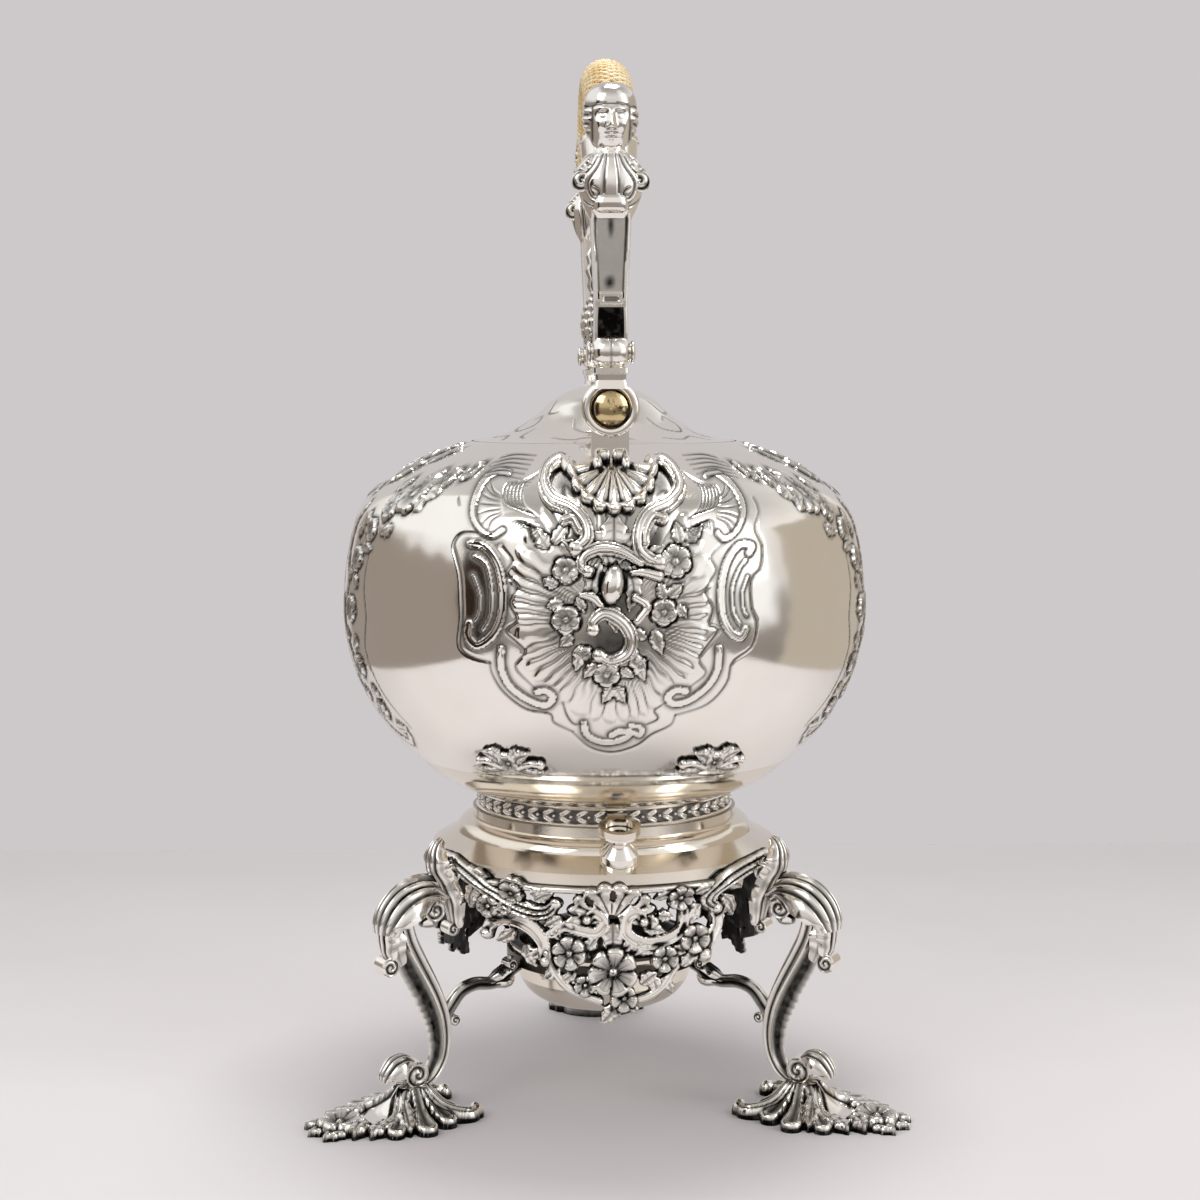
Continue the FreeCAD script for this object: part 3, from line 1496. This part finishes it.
def grip_path(extra=0.0):
    """Line of the grip in the YZ plane, with straight ends that run into the ferrules."""
    steep = math.radians(mm.grip_end_angle)
    easy = math.radians(mm.grip_crest_angle)
    arc = mm.grip_end_arc
    inner = mm.grip_span - arc * (math.sin(steep) - math.sin(easy))
    flat = inner / math.sin(easy)
    end_z = mm.grip_crest - flat * (1 - math.cos(easy)) - arc * (math.cos(easy) - math.cos(steep))
    end = V(0, -mm.grip_span, end_z)
    hub = end + V(0, math.sin(steep), -math.cos(steep)) * arc
    mean = (steep + easy) / 2
    bend = hub + V(0, -math.sin(mean), math.cos(mean)) * arc
    shoulder = hub + V(0, -math.sin(easy), math.cos(easy)) * arc
    crest = V(0, 0, mm.grip_crest)
    ahead = V(0, math.cos(steep), math.sin(steep))

    def far(point):
        return V(0, -point.y, point.z)

    edges = [
        Part.Arc(end, bend, shoulder).toShape(),
        Part.Arc(shoulder, crest, far(shoulder)).toShape(),
        Part.Arc(far(shoulder), far(bend), far(end)).toShape(),
    ]
    if extra:
        tail = end - ahead * extra
        edges.insert(0, Part.LineSegment(tail, end).toShape())
        edges.append(Part.LineSegment(far(end), far(tail)).toShape())
    return Part.Wire(edges), end, ahead


def rod(radius, extra=0.0):
    """A round rod along the grip's line."""
    path, end, ahead = grip_path(extra)
    section = Part.Wire(Part.Circle(end - ahead * extra, ahead, radius).toShape())
    return path.makePipeShell([section], True, False)


def grip():
    """Cane sleeve over a wooden core."""
    core = rod(mm.core_radius, mm.ferrule_length * 0.8)
    made("grip_core", core, 0, seat)
    bore = rod(mm.core_radius + mm.solder_gap, mm.ferrule_length * 0.8)
    made("grip_cane", one_solid(rod(mm.cane_radius).cut(bore)), 0, seat)


def block(width, depth, low, high, middle):
    """A box centred across, between two heights, about a reach behind the axis."""
    return Part.makeBox(width, depth, high - low, V(-width / 2, -middle - depth / 2, low))


def arm_reach():
    """Middle of the bail's arm behind the axis."""
    return mm.lug_reach + mm.lug_thickness / 2 + mm.moving_gap + mm.boss_thickness / 2


def bail_arm_shape():
    """Cast arm: pivot boss, collar, bead, curled scroll and panelled pillar."""
    pivot = mm.pivot_height
    middle = arm_reach()
    outward = V(0, -1, 0)
    boss_start = V(0, -middle + mm.boss_thickness / 2, pivot)
    boss = Part.makeCylinder(mm.boss_radius, mm.boss_thickness, boss_start, outward)
    dish = Part.makeCylinder(mm.boss_radius * 0.78, mm.boss_thickness * 0.12,
                             boss_start + outward * (mm.boss_thickness * 0.88), outward)
    bore = Part.makeCylinder(mm.pin_radius + mm.pin_clearance, mm.boss_thickness * 3,
                             boss_start - outward * mm.boss_thickness, outward)
    collar_low = pivot + mm.boss_radius * 0.8
    bead_low = pivot + mm.arm_collar_top
    bead_high = pivot + mm.bead_top
    collar = block(mm.arm_collar_width, mm.boss_thickness, collar_low, bead_low + 1.0, middle)
    bead_radius = (bead_high - bead_low) / 2
    bead = Part.makeCylinder(bead_radius, mm.bead_width,
                             V(-mm.bead_width / 2, -middle, bead_low + bead_radius), V(1, 0, 0))
    bead = bead.makeFillet(bead_radius * 0.7, bead.Edges[:3:2])
    scroll_high = pivot + mm.scroll_top
    neck = block(mm.scroll_width * 0.8, mm.pillar_depth * 0.5, bead_high - 2.0, scroll_high + 1.0, middle)
    curl_radius = (scroll_high - bead_high) * 0.46
    curl = Part.makeCylinder(curl_radius, mm.scroll_width,
                             V(-mm.scroll_width / 2, -middle + mm.pillar_depth * 0.3,
                               (bead_high + scroll_high) / 2), V(1, 0, 0))
    top = pivot + mm.pillar_top
    rows = []
    panel = []
    for share in (0.0, 1.0):
        wide = mm.pillar_foot_width + (mm.pillar_head_width - mm.pillar_foot_width) * share
        height = scroll_high + (top - scroll_high) * share
        rows.append(rectangle(wide, mm.pillar_depth, height, middle))
        inset = height + (3.0 if share == 0 else -3.0)
        panel.append(rectangle(wide * 0.66, mm.pillar_panel * 2, inset, middle + mm.pillar_depth / 2))
    pillar = Part.makeLoft(rows, True, True).cut(Part.makeLoft(panel, True, True))
    foot_block = block(mm.pillar_foot_width * 0.9, mm.pillar_depth * 0.5, scroll_high,
                       scroll_high + 5.0, middle + mm.pillar_depth * 0.36)
    return one_solid(boss.cut(dish).fuse([collar, bead, neck, curl, pillar, foot_block]).cut(bore))


def rectangle(width, depth, height, middle):
    """A level rectangle about a reach behind the axis."""
    corners = [(-1, -1), (1, -1), (1, 1), (-1, 1)]
    points = [V(x * width / 2, -middle + y * depth / 2, height) for x, y in corners]
    return Part.makePolygon(points + points[:1])


def oval(half_width, half_depth, height, middle):
    """A level oval about a reach behind the axis."""
    centre = V(0, -middle, height)
    if half_width >= half_depth:
        curve = Part.Ellipse(centre + V(half_width, 0, 0), centre + V(0, half_depth, 0), centre)
    else:
        curve = Part.Ellipse(centre + V(0, half_depth, 0), centre - V(half_width, 0, 0), centre)
    return Part.Wire(curve.toShape())


def bail_bust_shape():
    """Leafy bust with scrolled shoulders, a capped head and the ferrule for the grip."""
    pivot = mm.pivot_height
    middle = arm_reach()
    low = pivot + mm.pillar_top
    high = pivot + mm.bust_top
    tall = high - low
    half = mm.bust_width / 2
    neck = mm.head_width * 0.3
    rows = [
        oval(mm.pillar_head_width * 0.46, mm.pillar_depth * 0.45, low, middle),
        oval(half * 0.9, mm.pillar_depth * 0.72, low + tall * 0.45, middle),
        oval(half * 0.86, mm.pillar_depth * 0.68, low + tall * 0.7, middle),
        oval(neck * 1.05, neck, high, middle),
    ]
    torso = Part.makeLoft(rows, True, False)
    shapes = []
    ear = mm.ear_radius
    for turn in (-1, 1):
        shapes.append(Part.makeCylinder(ear, mm.pillar_depth * 0.8,
                      V(turn * (half - ear), -middle - mm.pillar_depth * 0.4, low + tall * 0.55), V(0, 1, 0)))
    head_half = mm.head_height / 2
    brow = high + head_half - 1.0
    skull = []
    for share in (-0.92, -0.55, 0.0, 0.55, 0.92):
        wide = mm.head_width / 2 * math.sqrt(1 - share * share)
        skull.append(oval(wide * 0.94, wide, brow + head_half * share, middle))
    head = Part.makeLoft(skull, True, False)
    band = Part.makeCylinder(mm.head_width * 0.53, head_half * 0.3, V(0, -middle, brow + head_half * 0.3))
    stem = Part.makeCylinder(neck, head_half, V(0, -middle, high - 0.5))
    path, end, ahead = grip_path()
    ferrule = Part.makeCylinder(mm.cane_radius + mm.ferrule_wall, mm.ferrule_length,
                                end - ahead * mm.ferrule_length, ahead)
    cane = rod(mm.cane_radius + mm.solder_gap)
    bore = rod(mm.core_radius + mm.solder_gap, mm.ferrule_length * 0.8 + mm.solder_gap)
    plate = Part.makeBox(400, 400, 50, V(-200, -200, low - 50))
    whole = torso.fuse(shapes + [head, band, stem, ferrule])
    return one_solid(whole.cut([cane, bore, plate]))


def bail():
    """Two arms with their busts, and the grip between them."""
    arm = bail_arm_shape()
    bust = bail_bust_shape()
    for side, turn in SIDE_TURNS.items():
        made(f"bail_arm_{side}", arm, turn, seat)
        made(f"bail_bust_{side}", bust, turn, seat)
    grip()


def build():
    """Make every sub-part."""
    stand_collar()
    pin_sockets()
    aprons()
    leg_brackets()
    leg = legs_and_feet()
    lamp_arms(leg)
    lamp_ring()
    lamp()
    kettle_body()
    laurel_band()
    foot_molding()
    foot_mounts()
    form = body_form(size.solder_gap)
    lugs(body_blank(form))
    escutcheons()
    chasing()
    bail_pins()
    kettle_eyes()
    spout(form)
    lid_cover()
    lid_bezel()
    finial()
    lid_hinge(form)
    bail()


def write_parts():
    """Check every object of the document, then write one file for each sub-part."""
    doc.recompute()
    for item in doc.Objects:
        if "Invalid" in item.State or "Error" in item.State:
            raise RuntimeError(f"{item.Label} failed: {item.State}")
    for node in NODES:
        shape = node.Shape
        if shape.isNull() or not shape.isValid() or not shape.Solids:
            raise RuntimeError(f"{node.Label} has no valid solid")
    os.makedirs("parts", exist_ok=True)
    for node in NODES:
        node.Shape.exportStep(f"parts/{node.Label}.step")
        print(f"{node.Label}: {len(node.Shape.Solids)} solid, {node.Shape.Volume:.0f} mm3")


build()
write_parts()
